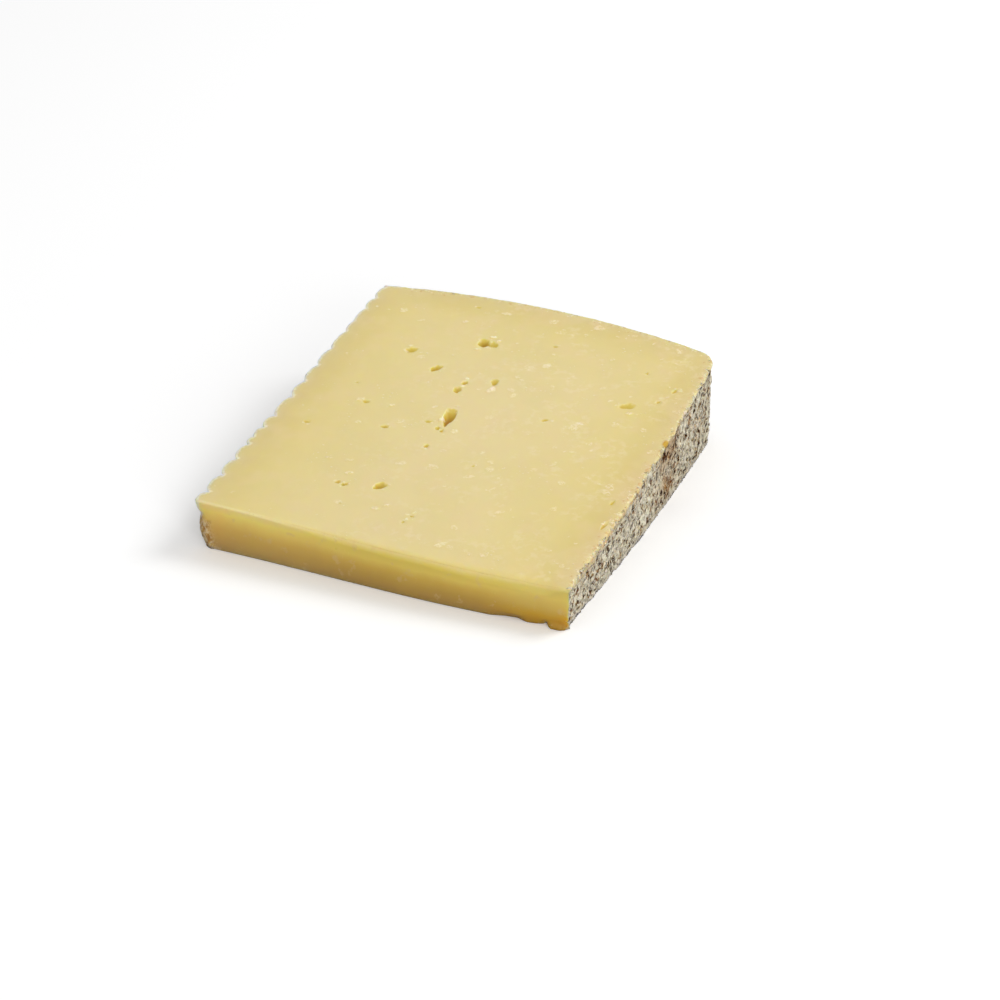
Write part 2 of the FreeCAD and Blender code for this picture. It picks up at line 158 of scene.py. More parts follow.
# Raised flakes of paste: place as for the eyes, length, width, height, turn. The first, on the long eye's
# rim, is a pale crumb whose whiter colour is a painted glint.
FLAKES = (
    (0.427, 0.462, 3.0, 1.9, 0.5, 80),
    (0.206, 0.718, 1.7, 1.1, 0.25, 30),
    (0.411, 0.633, 1.8, 1.3, 0.25, 10),
    (0.398, 0.818, 2.4, 1.5, 0.3, 20),
    (0.380, 0.758, 2.2, 1.3, 0.3, 20),
    (0.418, 0.806, 1.6, 1.6, 0.3, 20),
    (0.414, 0.601, 2.2, 0.9, 0.3, 20),
    (0.307, 0.206, 2.6, 1.5, 0.25, 20),
    (0.232, 0.243, 2.3, 1.0, 0.2, 10),
    (0.430, 0.108, 2.6, 1.5, 0.2, 20),
    (0.450, 0.126, 2.2, 0.9, 0.2, 30),
    (0.862, 0.626, 2.4, 1.4, 0.25, 20),
    (0.280, 0.476, 1.8, 1.3, 0.3, 40),
    (0.490, 0.610, 3.6, 2.6, 0.2, 80),
    (0.478, 0.428, 2.6, 2.6, 0.15, 40),
    (0.527, 0.122, 1.6, 1.2, 0.25, 50),
    (0.520, 0.096, 1.4, 1.0, 0.25, 120),
    (0.436, 0.345, 1.8, 1.0, 0.25, 10),
    (0.690, 0.540, 1.6, 1.0, 0.2, 30),
)
SCATTERED_FLAKES = 170  # small ones all over the upper cut, beside those of the list and round the eyes
SMALL_FLAKE = (0.8, 4.0)        # shortest and longest
RIM_FLAKE = (0.7, 1.6)          # the same for those round the eyes

# The orange spot on the upper cut's right border and the rind's brown part, and how far each reaches.
STAIN = (0.99, 0.545)
STAIN_REACH = 1.7
BROWN_AREA = (0.99, 0.565)
BROWN_REACH = 8.5

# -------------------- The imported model, as a surface to be measured.


def read_cad():
    """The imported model's corners in millimetres, as an array, and its triangles."""
    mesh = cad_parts[NODE].data
    mesh.calc_loop_triangles()
    corners = np.empty(len(mesh.vertices) * 3)
    mesh.vertices.foreach_get("co", corners)
    triangles = np.empty(len(mesh.loop_triangles) * 3, dtype=int)
    mesh.loop_triangles.foreach_get("vertices", triangles)
    return corners.reshape(-1, 3) / MM, triangles.reshape(-1, 3)


def upper_cut(corners, triangles):
    """The upper knife cut as a unit normal and its distance from the origin, from the largest facet up."""
    a, b, c = (corners[triangles[:, k]] for k in range(3))
    across = np.cross(b - a, c - a)
    facing_up = np.where(across[:, 2] > 0.9 * np.linalg.norm(across, axis=1), across[:, 2], 0.0)
    largest = np.argmax(facing_up * (a[:, 2] > 1.0))
    normal = across[largest] / np.linalg.norm(across[largest])
    return normal, float(normal @ a[largest])


cad_corners, cad_triangles = read_cad()
cad_surface = BVHTree.FromPolygons(cad_corners.tolist(), cad_triangles.tolist())
top_normal, top_offset = upper_cut(cad_corners, cad_triangles)


def height(x, y):
    """Height of the upper cut above the lower one."""
    return (top_offset - top_normal[0] * x - top_normal[1] * y) / top_normal[2]


def cast(start, way):
    """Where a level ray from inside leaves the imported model, as an array."""
    hit = cad_surface.ray_cast(Vector(start), Vector((way[0], way[1], 0.0)))[0]
    if hit is None:
        raise RuntimeError(f"no surface from {start} towards {way}")
    return np.array(hit)


def side_at(x, y, way, row):
    """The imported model's side at a row of the ring, going out from a place on the lower cut.

    The last ray starts just inside the side, so that the sloping upper cut isn't in its way.
    """
    foot = cast((x, y, HAIR), way)
    start = foot[:2] - np.array(way) * CAST_BACK
    start[1] = max(start[1], low[1] + CLEAR_OF_CUT)
    z = np.clip(row_height(row, height(*foot[:2])), HAIR, height(*start) - HAIR)
    hit = cast((start[0], start[1], z), way)
    return np.array([hit[0], hit[1], row_height(row, height(hit[0], hit[1]))])


# -------------------- Small helpers.


def smooth_step(value, start, end):
    """0 at start, 1 at end, with soft ends."""
    share = np.clip((value - start) / (end - start), 0.0, 1.0)
    return share * share * (3.0 - 2.0 * share)


def waves(points, size):
    """Noise from -1 to 1 at each point, with features of about that size."""
    return np.array([noise.noise(Vector(point)) for point in np.asarray(points) / size])


def pits(points, size):
    """Distance of each point from the nearest of scattered places, in the size that they lie apart."""
    return np.array([noise.voronoi(Vector(point))[0][0] for point in points / size])


def bulge(share, power=2.4, roundness=0.75):
    """Section of a ridge: 0 at its borders, where share is 0 or 1, and 1 on its crest."""
    return np.clip(1.0 - np.abs(2.0 * share - 1.0) ** power, 0.0, 1.0) ** roundness


# -------------------- The upright sides.


def front_inset(share):
    """How far the square cut lies behind its foremost point, by the share across from its left end."""
    behind = 1.0 - np.sin(math.pi * share ** BOW_SKEW)
    return np.where(share ** BOW_SKEW < 0.5, END_BOW, RIGHT_BOW) * behind


def ridge_inset(back, z):
    """How far the ridged face lies inside its crests, by the distance back from the square cut's end."""
    borders = np.concatenate([[0.0], np.cumsum([width for width, _ in RIDGES])])
    last_width = 2.0 * (LENGTH - END_BOW - RIDGE_CORNER - borders[-1])
    borders = np.append(borders, borders[-1] + last_width)
    depths = np.array([FIRST_VALLEY] + [depth for _, depth in RIDGES] + [RIDGES[-1][1]])
    ridge = np.clip(np.searchsorted(borders, back, side="right") - 1, 0, len(borders) - 2)
    share = np.clip((back - borders[ridge]) / (borders[ridge + 1] - borders[ridge]), 0.0, 1.0)
    depth = depths[ridge] * (1.0 - share) + depths[ridge + 1] * share
    across = depth * (1.0 - bulge(share))

    step = z / FURROW_PITCH
    furrow = np.clip(np.floor(step).astype(int), 0, len(FURROW_DEPTHS) - 2)
    rise = step - furrow
    furrow_depths = np.array(FURROW_DEPTHS)
    depth = furrow_depths[furrow] * (1.0 - rise) + furrow_depths[furrow + 1] * rise
    return across + depth * (1.0 - bulge(rise, 2.0, 0.9))


def row_height(row, top):
    """Height of a row of the ring where the upper cut is at that height."""
    last = ROWS - 1 - row
    if row < len(EDGE_STEPS):
        return np.full_like(top, EDGE_STEPS[row])
    if last < len(EDGE_STEPS):
        return top - EDGE_STEPS[last]
    inner = EDGE_STEPS[-1]
    share = (row - len(EDGE_STEPS) + 1) / (ROWS - 2 * len(EDGE_STEPS) + 1)
    return inner + (top - 2.0 * inner) * share


def steps_for(length, step):
    """Even shares from 0 up to 1, the last left out, at about that step along the length."""
    count = round(length / step)
    return np.arange(count) * step / (count * step)


LEFT_FRONT = low[1] + front_inset(0.0)
RIGHT_FRONT = low[1] + front_inset(1.0)
corner_x = low[0] + RIDGE_CORNER
clear_x = low[0] + VALLEYS
face_x = high[0] - RIM_CORNER


def rim_line(row):
    """The rim's place behind the ridged face's corner, at a row, and its slope there."""
    clear_rim, next_rim = (side_at(x, 0.0, (0.0, 1.0), row) for x in (clear_x, 2.0 * clear_x - low[0]))
    slope = (next_rim[1] - clear_rim[1]) / (next_rim[0] - clear_rim[0])
    return clear_rim[1] - slope * (clear_x - corner_x), slope


def ridged_side(row, rim_y):
    """Points of the ridged face at a row, their way into the cheese, and the last one's inset."""
    y = LEFT_FRONT + (rim_y - RIDGE_CORNER - LEFT_FRONT) * steps_for(LENGTH, COLUMN_STEP)
    z = row_height(row, height(low[0], y))
    inset = ridge_inset(y - LEFT_FRONT, z)
    return np.stack([low[0] + inset, y, z], 1), np.tile([1.0, 0.0], (len(y), 1)), inset[-1]


def ridge_corner(row, rim_y, inset):
    """Points of the round from the ridged face to the rim, which takes up the inset, and their way in."""
    turn = steps_for(RIDGE_CORNER * math.pi / 2, COLUMN_STEP) * math.pi / 2
    reach = RIDGE_CORNER - inset * (1.0 - turn / (math.pi / 2))
    x, y = corner_x - reach * np.cos(turn), rim_y - RIDGE_CORNER + reach * np.sin(turn)
    points = np.stack([x, y, row_height(row, height(x, y))], 1)
    return points, np.stack([np.cos(turn), -np.sin(turn)], 1)


def smooth_sides(row, slope):
    """Points of the rim, its far corner and the smooth face at a row, and their way in.

    Beside the ridged face and the square cut the rays find a neighbour's place, which is moved over.
    """
    centre_y = side_at(face_x, 0.0, (0.0, 1.0), 0)[1] - RIM_CORNER
    rays = [(x, 0.0, (0.0, 1.0))
            for x in corner_x + (face_x - corner_x) * steps_for(face_x - corner_x, COLUMN_STEP * 1.1)]
    rays += [(face_x, centre_y, (math.sin(turn), math.cos(turn)))
             for turn in steps_for(RIM_CORNER * math.pi / 2, COLUMN_STEP) * math.pi / 2]
    face_count = round((centre_y - RIGHT_FRONT) / COLUMN_STEP) + 1
    rays += [(face_x, y, (1.0, 0.0)) for y in np.linspace(centre_y, RIGHT_FRONT, face_count)]
    clear_y = low[1] + CLEAR_OF_CUT
    points = np.array([side_at(max(x, clear_x), max(y, clear_y), way, row) for x, y, way in rays])
    wanted_x, wanted_y = np.array([(x, y) for x, y, _ in rays]).T
    by_ridges, by_cut = wanted_x < clear_x, wanted_y < clear_y
    points[by_ridges, 1] -= slope * (clear_x - wanted_x[by_ridges])
    points[by_ridges, 0] = wanted_x[by_ridges]
    points[by_cut, 1] = wanted_y[by_cut]
    moved = by_ridges | by_cut
    points[moved, 2] = row_height(row, height(*points[moved, :2].T))
    return points, -np.array([way for _, _, way in rays])


def square_cut(row, right_x, left_x):
    """Points of the square cut at a row, from right to left and closer at its ends, and their way in."""
    count = round(WIDTH / FRONT_STEP)
    even = np.arange(1, count) / count
    share = 1.0 - (even - 0.5 * np.sin(2.0 * math.pi * even) / (2.0 * math.pi))
    x = left_x + (right_x - left_x) * share
    y = low[1] + front_inset(share)
    return np.stack([x, y, row_height(row, height(x, y))], 1), np.tile([0.0, 1.0], (len(x), 1))


def ring_row(row):
    """One row of the ring: its points, the way into the cheese at each, and whether each is rind.

    It runs from the near left corner along the rind to the near right one and back along the square cut.
    """
    rim_y, slope = rim_line(row)
    ridged, ridged_in, last_inset = ridged_side(row, rim_y)
    corner, corner_in = ridge_corner(row, rim_y, last_inset)
    smooth, smooth_in = smooth_sides(row, slope)
    cut, cut_in = square_cut(row, smooth[-1, 0], ridged[0, 0])
    is_rind = np.concatenate([np.ones(len(ridged) + len(corner) + len(smooth)), np.zeros(len(cut))])
    return (np.concatenate([ridged, corner, smooth, cut]),
            np.concatenate([ridged_in, corner_in, smooth_in, cut_in]), is_rind.astype(bool))


# -------------------- The caps on the two knife cuts.


def hex_grid(step, x_range, y_range):
    """Points about a step apart, a little uneven, that fill a rectangle."""
    rise = step * math.sqrt(3.0) / 2.0
    xs = np.arange(x_range[0], x_range[1], step)
    ys = np.arange(y_range[0], y_range[1], rise)
    grid_x, grid_y = np.meshgrid(xs, ys)
    grid_x = grid_x + (np.arange(len(ys)) % 2)[:, None] * step / 2.0
    grid = np.stack([grid_x.ravel(), grid_y.ravel()], 1)
    return grid + rng.uniform(-0.15, 0.15, grid.shape) * step


def place_of(across, back):
    """Place on the cuts, from the shares across from the ridged face and back from the square cut."""
    return np.array([low[0] + across * WIDTH, low[1] + END_BOW + back * (LENGTH - END_BOW)])


def share_of(place):
    """The way back from place_of."""
    return (place[0] - low[0]) / WIDTH, (place[1] - low[1] - END_BOW) / (LENGTH - END_BOW)


class Patch:
    """An uneven oval on the upper cut, for an eye or a flake."""

    def __init__(self, across, back, length, width, depth, turn, widening=0.0):
        self.centre = place_of(across, back)
        self.half = np.array([length, width]) / 2.0
        self.depth = depth
        self.turn = math.radians(turn)
        self.widening = widening
        self.phases = rng.uniform(0.0, 2.0 * math.pi, len(EYE_WAVES))

    def local(self, places):
        """Places in the oval's own axes."""
        offset = places - self.centre
        cos, sin = math.cos(self.turn), math.sin(self.turn)
        x, y = offset.T
        return np.stack([x * cos + y * sin, y * cos - x * sin], 1)

    def world(self, local):
        """The way back from the oval's own axes."""
        cos, sin = math.cos(self.turn), math.sin(self.turn)
        x, y = local.T
        return self.centre + np.stack([x * cos - y * sin, x * sin + y * cos], 1)

    def radii(self, places):
        """For each place, its distance from the centre as a share of the outline there, which is 1."""
        unit = self.local(places) / self.half
        unit[:, 1] /= np.clip(1.0 + self.widening * unit[:, 0], NARROWEST, 2.0)
        angle = np.arctan2(unit[:, 1], unit[:, 0])
        outline = 1.0 + sum(rise * np.sin(count * angle + phase)
                            for (count, rise), phase in zip(EYE_WAVES, self.phases))
        return np.linalg.norm(unit, axis=1) / outline


def flakes_round(eye):
    """Small torn flakes on an eye's rim."""
    found = []
    for _ in range(1 + round(eye.half[0])):
        angle = rng.uniform(0.0, 2.0 * math.pi)
        local = eye.half * rng.uniform(1.1, 1.5) * np.array([math.cos(angle), math.sin(angle)])
        place = eye.world(local[None, :])[0]
        found.append(Patch(*share_of(place), *flake_size(*RIM_FLAKE), rng.uniform(0, 180)))
    return found


def flake_size(shortest, longest):
    """Length, width and height of a flake; most are short."""
    length = shortest + (longest - shortest) * rng.uniform() ** 1.8
    return length, length * rng.uniform(0.45, 0.95), rng.uniform(0.03, 0.12)


def scattered_flakes():
    """Small flakes in loose clusters, more of them towards the rind on the right and the rim."""
    found = []
    while len(found) < SCATTERED_FLAKES:
        across, back = rng.uniform(0.02, 0.98, 2)
        x, y = place_of(across, back)
        cluster = 0.35 + 1.6 * noise.noise(Vector((x, y, 0.0)) / 11.0)
        wanted = cluster * (0.25 + 0.75 * smooth_step(0.6 * across + 0.4 * back, 0.2, 0.7))
        if rng.uniform() < wanted and y < high[1] - 4.0 - 10.0 * (across - 0.5) ** 2:
            found.append(Patch(across, back, *flake_size(*SMALL_FLAKE), rng.normal(20.0, 30.0)))
    return found


eyes = [Patch(*row) for row in EYES]
flakes = [Patch(*row) for row in FLAKES] + [flake for eye in eyes for flake in flakes_round(eye)]
flakes += scattered_flakes()


def nearest_rim(places, rim_tree, rim_inward):
    """Distance of each place from the cap's outline, negative outside it."""
    distances = np.empty(len(places))
    for index, place in enumerate(places):
        spot, near, distance = rim_tree.find((place[0], place[1], 0.0))
        inside = (place[0] - spot.x) * rim_inward[near, 0] + (place[1] - spot.y) * rim_inward[near, 1]
        distances[index] = math.copysign(distance, inside)
    return distances


def tree_of(places):
    """A search tree of places on a plane."""
    tree = KDTree(len(places))
    for index, place in enumerate(places):
        tree.insert((place[0], place[1], 0.0), index)
    tree.balance()
    return tree


def outside(grid, patches):
    """The places of a grid that lie clear of the patches."""
    for patch in patches:
        grid = grid[patch.radii(grid) > PATCH_MARGIN]
    return grid


def fill_cap(outline, inward, bands, patches):
    """Places inside a cap's outline, at the bands' steps, and at finer ones in the patches."""
    rim_tree = tree_of(outline)
    span_x = (outline[:, 0].min(), outline[:, 0].max())
    span_y = (outline[:, 1].min(), outline[:, 1].max())
    kept = []
    ends = [start for _, start in bands[1:]] + [math.inf]
    for (step, start), end in zip(bands, ends):
        grid = hex_grid(step, span_x, span_y)
        distances = nearest_rim(grid, rim_tree, inward)
        grid = grid[(distances > max(start, 0.55 * step)) & (distances <= end)]
        kept.append(outside(grid, patches))
    for count, patch in enumerate(patches):
        reach = patch.half.max() * 1.6
        step = PATCH_STEP if patch.half[0] > LARGE_PATCH else FLAKE_STEP
        grid = hex_grid(step, *((middle - reach, middle + reach) for middle in patch.centre))
        distances = nearest_rim(grid, rim_tree, inward)
        grid = grid[(patch.radii(grid) <= PATCH_MARGIN) & (distances > PATCH_STEP)]
        others = [other for other in patches[:count]
                  if np.linalg.norm(other.centre - patch.centre) < other.half.max() + reach]
        kept.append(outside(grid, others))
    return np.concatenate(kept)


def triangulate(outline, inner):
    """Triangles over the outline's points and those inside it, by index."""
    places = [Vector(place) for place in np.concatenate([outline, inner])]
    count = len(outline)
    borders = [(index, (index + 1) % count) for index in range(count)]
    _, _, faces, originals, _, _ = delaunay_2d_cdt(places, borders, [], 1, 1e-7)
    return np.array([[originals[corner][0] for corner in face] for face in faces])


# -------------------- The wedge's skin.

ring, ring_inward, ring_is_rind = (np.stack(part) for part in zip(*(ring_row(row) for row in range(ROWS))))
COLUMNS = ring.shape[1]
rind_columns = ring_is_rind[0]


def ring_faces():
    """Quads of the ring, facing out."""
    column = np.arange(COLUMNS)
    after = (column + 1) % COLUMNS
    quads = [np.stack([row * COLUMNS + column, row * COLUMNS + after,
                       (row + 1) * COLUMNS + after, (row + 1) * COLUMNS + column], 1)
             for row in range(ROWS - 1)]
    return np.concatenate(quads)[:, ::-1]


def outline_inward(outline):
    """The way into the cheese at each point of a closed outline that runs clockwise seen from above."""
    along = np.roll(outline, -1, 0) - np.roll(outline, 1, 0)
    along /= np.linalg.norm(along, axis=1)[:, None]
    return np.stack([along[:, 1], -along[:, 0]], 1)


top_outline, bottom_outline = ring[-1, :, :2], ring[0, :, :2]
top_inner = fill_cap(top_outline, outline_inward(top_outline), TOP_BANDS, eyes + flakes)
bottom_inner = fill_cap(bottom_outline, outline_inward(bottom_outline), BOTTOM_BANDS, [])
top_faces = triangulate(top_outline, top_inner)
bottom_faces = triangulate(bottom_outline, bottom_inner)

ring_count, top_count, bottom_count = ROWS * COLUMNS, len(top_inner), len(bottom_inner)
TOP_START, BOTTOM_START = ring_count, ring_count + top_count
points = np.concatenate([
    ring.reshape(-1, 3),
    np.column_stack([top_inner, height(top_inner[:, 0], top_inner[:, 1])]),
    np.column_stack([bottom_inner, np.zeros(bottom_count)]),
])
top_index = np.concatenate([np.arange((ROWS - 1) * COLUMNS, ring_count), TOP_START + np.arange(top_count)])
bottom_index = np.concatenate([np.arange(COLUMNS), BOTTOM_START + np.arange(bottom_count)])
top_faces = top_index[top_faces]
bottom_faces = bottom_index[bottom_faces][:, ::-1]
side_faces = ring_faces()

COUNT = len(points)
on_ring = np.arange(COUNT) < ring_count
on_wall, on_top, on_bottom = (np.zeros(COUNT, bool) for _ in range(3))
on_wall[:ring_count] = ring_is_rind.ravel()
on_top[top_index] = True
on_bottom[bottom_index] = True
on_front = on_ring & ~on_wall
RIGHT_COLUMN = int(rind_columns.sum()) - 1
for column in (0, RIGHT_COLUMN):
    on_front[np.arange(ROWS) * COLUMNS + column] = True

# Distances from the surfaces that meet at the edges.
from_top = np.clip(top_offset - points @ top_normal, 0.0, None)
from_bottom = points[:, 2].copy()
left_x, right_x = ring[:, 0, 0].mean(), ring[:, RIGHT_COLUMN, 0].mean()
front_y = low[1] + front_inset(np.clip((points[:, 0] - left_x) / (right_x - left_x), 0, 1))
from_front = np.where(on_front, 0.0, points[:, 1] - front_y)


def rind_distance():
    """Distance of every point of the cuts from the rind, along the cut, and the way to go from the rind."""
    distance = np.zeros(COUNT)
    away = np.zeros((COUNT, 2))
    away[:ring_count] = ring_inward.reshape(-1, 2)
    for cap_index, row in ((top_index, ROWS - 1), (bottom_index, 0)):
        outline = ring[row, rind_columns, :2]
        tree = tree_of(outline)
        for index in cap_index:
            if not on_wall[index]:
                _, near, gap = tree.find((points[index, 0], points[index, 1], 0.0))
                distance[index] = gap
                away[index] = ring_inward[row, near]
    from_left = ring[:, :, 0] - ring[:, :1, 0]
    from_right = ring[:, RIGHT_COLUMN, 0][:, None] - ring[:, :, 0]
    gap = np.minimum(from_left, from_right).ravel()
    front = on_front[:ring_count] & ~on_wall[:ring_count]
    distance[:ring_count][front] = gap[front]
    return distance, away


from_rind, away_from_rind = rind_distance()

# Rounded edges: points on two surfaces that meet move on to the round between them.
shape = points.copy()
into_cheese = np.zeros((COUNT, 3))
into_cheese[:, :2] = away_from_rind


def round_edge(first, second, first_way, second_way, radius):
    """Move the points near an edge on to its round.

    `first` and `second` are the distances from the two surfaces, each along its way into the cheese.
    """
    near = (first < radius) & (second < radius)
    a, b = first[near], second[near]
    r = radius[near]
    reach = np.hypot(r - a, r - b)
    new_a = r - (r - a) * r / reach
    new_b = r - (r - b) * r / reach
    shape[near] += first_way[near] * (new_a - a)[:, None] + second_way[near] * (new_b - b)[:, None]
    first[near], second[near] = new_a, new_b


def ways(vector):
    """The same way for every point."""
    return np.tile(np.asarray(vector, float), (COUNT, 1))


across = (points[:, 0] - low[0]) / WIDTH
down, up, back = ways(-top_normal), ways([0, 0, 1]), ways([0, 1, 0])
along_edge = np.column_stack([points[:, 0], np.zeros(COUNT), np.zeros(COUNT)])
ragged = 0.5 + 0.5 * waves(points, 1.9)
near_top_radius = LEFT_RADIUS + MIDDLE_GAIN * smooth_step(across, 0.12, 0.5)
near_top_radius += RIGHT_GAIN * smooth_step(across, 0.6, 0.9)
near_top_radius += RADIUS_SWING * waves(along_edge, 9.0) * smooth_step(across, 0.1, 0.4)
near_top_radius *= 1.0 - CORNER_LOSS * smooth_step(across, 0.92, 0.97)
low_radius = np.full(COUNT, LOW_RADIUS)
is_ridged = smooth_step(across, 0.07, 0.05)
rind_top_radius = 0.25 + 0.45 * ragged * (1.0 - is_ridged)
left_end_radius = 0.5 + LEFT_END_GAIN * (1.0 - smooth_step(points[:, 2], *SHARP_TOP))
end_radius = np.where(across < 0.5, left_end_radius, 0.5 + 0.3 * ragged)

near_front = np.where(from_front < 6.0, from_front, 99.0)
rind_gap = from_rind.copy()
top_gap = from_top.copy()
round_edge(rind_gap, near_front.copy(), into_cheese, back, end_radius)
round_edge(near_front, top_gap, back, down, near_top_radius)
round_edge(near_front, from_bottom, back, up, low_radius)
round_edge(rind_gap, top_gap, into_cheese, down, rind_top_radius)
round_edge(rind_gap, from_bottom, into_cheese, up, low_radius)

# The worn lower edge of the square cut.
worn = np.interp(ring[0, RIGHT_COLUMN, 0] - points[:, 0], *np.array(WORN_EDGE[::-1]).T)
worn *= 1.0 - smooth_step(points[:, 2], 0.0, WORN_HEIGHT)
worn *= 1.0 - smooth_step(from_front, 0.0, WORN_REACH)
shape[:, 1] += worn

# -------------------- Rind, eyes, flakes and the unevenness of the cuts.

# The rind has a share of 1 on the upright faces, below a bare strip with a torn border.
torn_edge = from_top + (0.7 - 0.4 * is_ridged) * waves(points, 2.4) + 0.3 * waves(points, 1.1)
near_right = smooth_step(from_front, 0.0, 6.0) * smooth_step(from_front, 60.0, 30.0) * (across > 0.5)
bare_strip = 0.5 + 1.7 * near_right - 0.2 * is_ridged
rind_share = on_wall * smooth_step(torn_edge, bare_strip, bare_strip + 1.0 - 0.4 * is_ridged)
by_cut = 1.0 - smooth_step(from_front + 0.8 * waves(points, 2.0), 2.0, 6.0)
rind_share *= 1.0 - by_cut * is_ridged

# Crust shows at the left end of the square cut.
left_end = (on_front | on_wall) & (across < 0.5)
end_height = points[left_end, 2] + 1.5 * waves(points[left_end], 3.0)
end_width = from_rind[left_end] + 1.2 * waves(points[left_end], 2.0)
end_crust = np.zeros(COUNT)
end_crust[left_end] = 1.0 - smooth_step(end_width, *CRUST_WIDTHS)
end_crust[left_end] *= 1.0 - smooth_step(end_height, *CRUST_HEIGHTS)
end_crust *= by_cut

# Pits in the rind and the crust, and an uneven foot.
rind_like = (rind_share > 0.0) | (end_crust > 0.0)
rind_points = points[rind_like]
pitted = 0.60 * smooth_step(pits(rind_points, 1.8), 0.12, 0.75)
pitted += 0.25 * smooth_step(pits(rind_points, 1.1), 0.1, 0.7)
pitted += 0.22 * waves(rind_points, 1.3)
relief = np.zeros(COUNT)
relief[rind_like] = np.clip(pitted, 0.0, 1.0)
sink = 0.75 * relief
near_floor = 1.0 - smooth_step(rind_points[:, 2], 0.0, 5.0)
sink[rind_like] += 0.5 * near_floor * (waves(rind_points, 5.0) + 0.8)
sink *= np.maximum(rind_share, 0.6 * end_crust)

# The outline of the cuts wavers, finely so at the ridges.
wobble = 0.2 * (waves(points, 2.6) + 1.0) + 0.3 * (waves(points, 8.0) + 1.0)
wobble += 0.3 * (waves(points, 1.2) + 1.0) * is_ridged * (1.0 - smooth_step(from_rind, 0.0, 1.0))
wobble *= (on_wall | on_top | on_bottom) * (1.0 - smooth_step(from_rind, 0.0, 3.0))
wobble *= smooth_step(from_front, 0.0, 3.0)
shape += into_cheese * (sink * (1.0 - 0.45 * is_ridged) + wobble * (1.0 - 0.5 * is_ridged))[:, None]

eye_tone_and_shade, flake_and_glint_share, drop = (np.zeros(COUNT) for _ in range(3))
cap = top_index[~on_ring[top_index]]


def near_patch(patch):
    """Indices of the upper cut's points round a patch, and their radii in it."""
    reach = patch.half.max() * PATCH_MARGIN * 1.3
    index = cap[(np.abs(points[cap, :2] - patch.centre) < reach).all(axis=1)]
    return index, patch.radii(points[index, :2])


def sink_eye(eye):
    """A smooth bowl, deeper on its near side, with a slight lip, and a tone that turns the eye's yellow
    darker orange as painted shade in its depth and on its near side.
    """
    index, radii = near_patch(eye)
    nearer = np.clip((eye.centre[1] - points[index, 1]) / eye.half.max(), -1.0, 1.0)
    bowl = np.clip(1.0 - radii ** 2.4, 0.0, None) ** 0.8 * (1.0 + NEAR_DEEPER * nearer)
    drop[index] += eye.depth * bowl
    lip = smooth_step(radii, 1.35, 1.05) * smooth_step(radii, 0.9, 1.05)
    drop[index] -= LIP * lip
    soft = 0.35 / (0.4 + eye.depth)
    tone_and_shade = smooth_step(radii + 0.25 * waves(points[index], 0.9), 1.12 + 0.3 * soft, 0.95 - soft)
    # Painted shade: the tone deepens with the bowl's depth and towards the near side.
    tone_and_shade *= 0.35 + 0.65 * np.clip(0.5 * bowl * eye.depth + 0.35 * nearer, 0.0, 1.0)
    eye_tone_and_shade[index] = np.maximum(eye_tone_and_shade[index], tone_and_shade)


def raise_flake(flake):
    """A low crumb with an uneven top."""
    index, radii = near_patch(flake)
    body = smooth_step(radii, 1.1, 0.7) * (0.8 + 0.4 * waves(points[index], 0.7))
    drop[index] -= flake.depth * body
    # Taller flakes take more of the pale colour; at the tall one by the long eye that pale is a painted
    # glint.
    flake_and_glint_share[index] = np.maximum(flake_and_glint_share[index], body * min(1.0, 0.55 + 2.0 * flake.depth))


for eye in eyes:
    sink_eye(eye)
for flake in flakes:
    raise_flake(flake)

# Knife cuts are never quite flat.
slow_waves = 0.12 * (waves(points, 34.0) + 1.0) + 0.03 * waves(points, 5.0)
slow_waves *= smooth_step(from_rind, 0.0, 4.0) * smooth_step(points[:, 1] - low[1], 0.0, 6.0)
drop += slow_waves * (on_top & ~on_wall)
shape -= top_normal * drop[:, None]
front_waves = 0.08 * (1.0 + waves(points[on_front], 11.0))
shape[on_front, 1] += front_waves * smooth_step(from_rind[on_front], 0.0, 5.0)
shape = np.clip(shape, low + INSIDE, high - INSIDE)

# -------------------- The mesh, with what its material reads.

triangles = np.concatenate([side_faces[:, [0, 1, 2]], side_faces[:, [0, 2, 3]], top_faces, bottom_faces])
mesh = bpy.data.meshes.new("cheese")
mesh.vertices.add(COUNT)
mesh.vertices.foreach_set("co", (shape * MM).ravel())
mesh.loops.add(triangles.size)
mesh.loops.foreach_set("vertex_index", triangles.ravel().astype(np.int32))
mesh.polygons.add(len(triangles))
mesh.polygons.foreach_set("loop_start", np.arange(0, triangles.size, 3, dtype=np.int32))
mesh.update(calc_edges=True)
mesh.validate()
mesh.shade_smooth()

normals = np.empty(COUNT * 3)
mesh.vertices.foreach_get("normal", normals)
# Forward-facing parts take the square cut's colours, which carry painted shade and painted light.
facing_front = smooth_step(-normals.reshape(-1, 3)[:, 1], 0.25, 0.85) * (~on_wall | on_front)
# A painted highlight along the square cut's sharp upper edge, strongest at its left end.
painted_edge_highlight = 1.0 - smooth_step(np.hypot(np.minimum(near_front, 9.0), from_top), 0.35, 0.95)
painted_edge_highlight *= 1.0 - smooth_step(across, 0.12, 0.5)

by_smooth_face = across > 0.9
stain_along = (points[:, 1] - place_of(*STAIN)[1]) / STAIN_REACH
stain_up = (from_top + 1.4 * from_rind - 0.4) / 1.3
stain = smooth_step(np.hypot(stain_along, stain_up) + 0.3 * waves(points, 1.1), 1.3, 0.7) * by_smooth_face
brown_along = (points[:, 1] - place_of(*BROWN_AREA)[1]) / BROWN_REACH
brown_area = np.exp(-brown_along ** 2) * by_smooth_face * np.clip(0.7 + 0.9 * waves(points, 5.0), 0.0, 1.0)


def store(name, values):
    """Keep one number for each point, for the material."""
    layer = mesh.attributes.new(name, "FLOAT", "POINT")
    layer.data.foreach_set("value", np.asarray(values, np.float32))


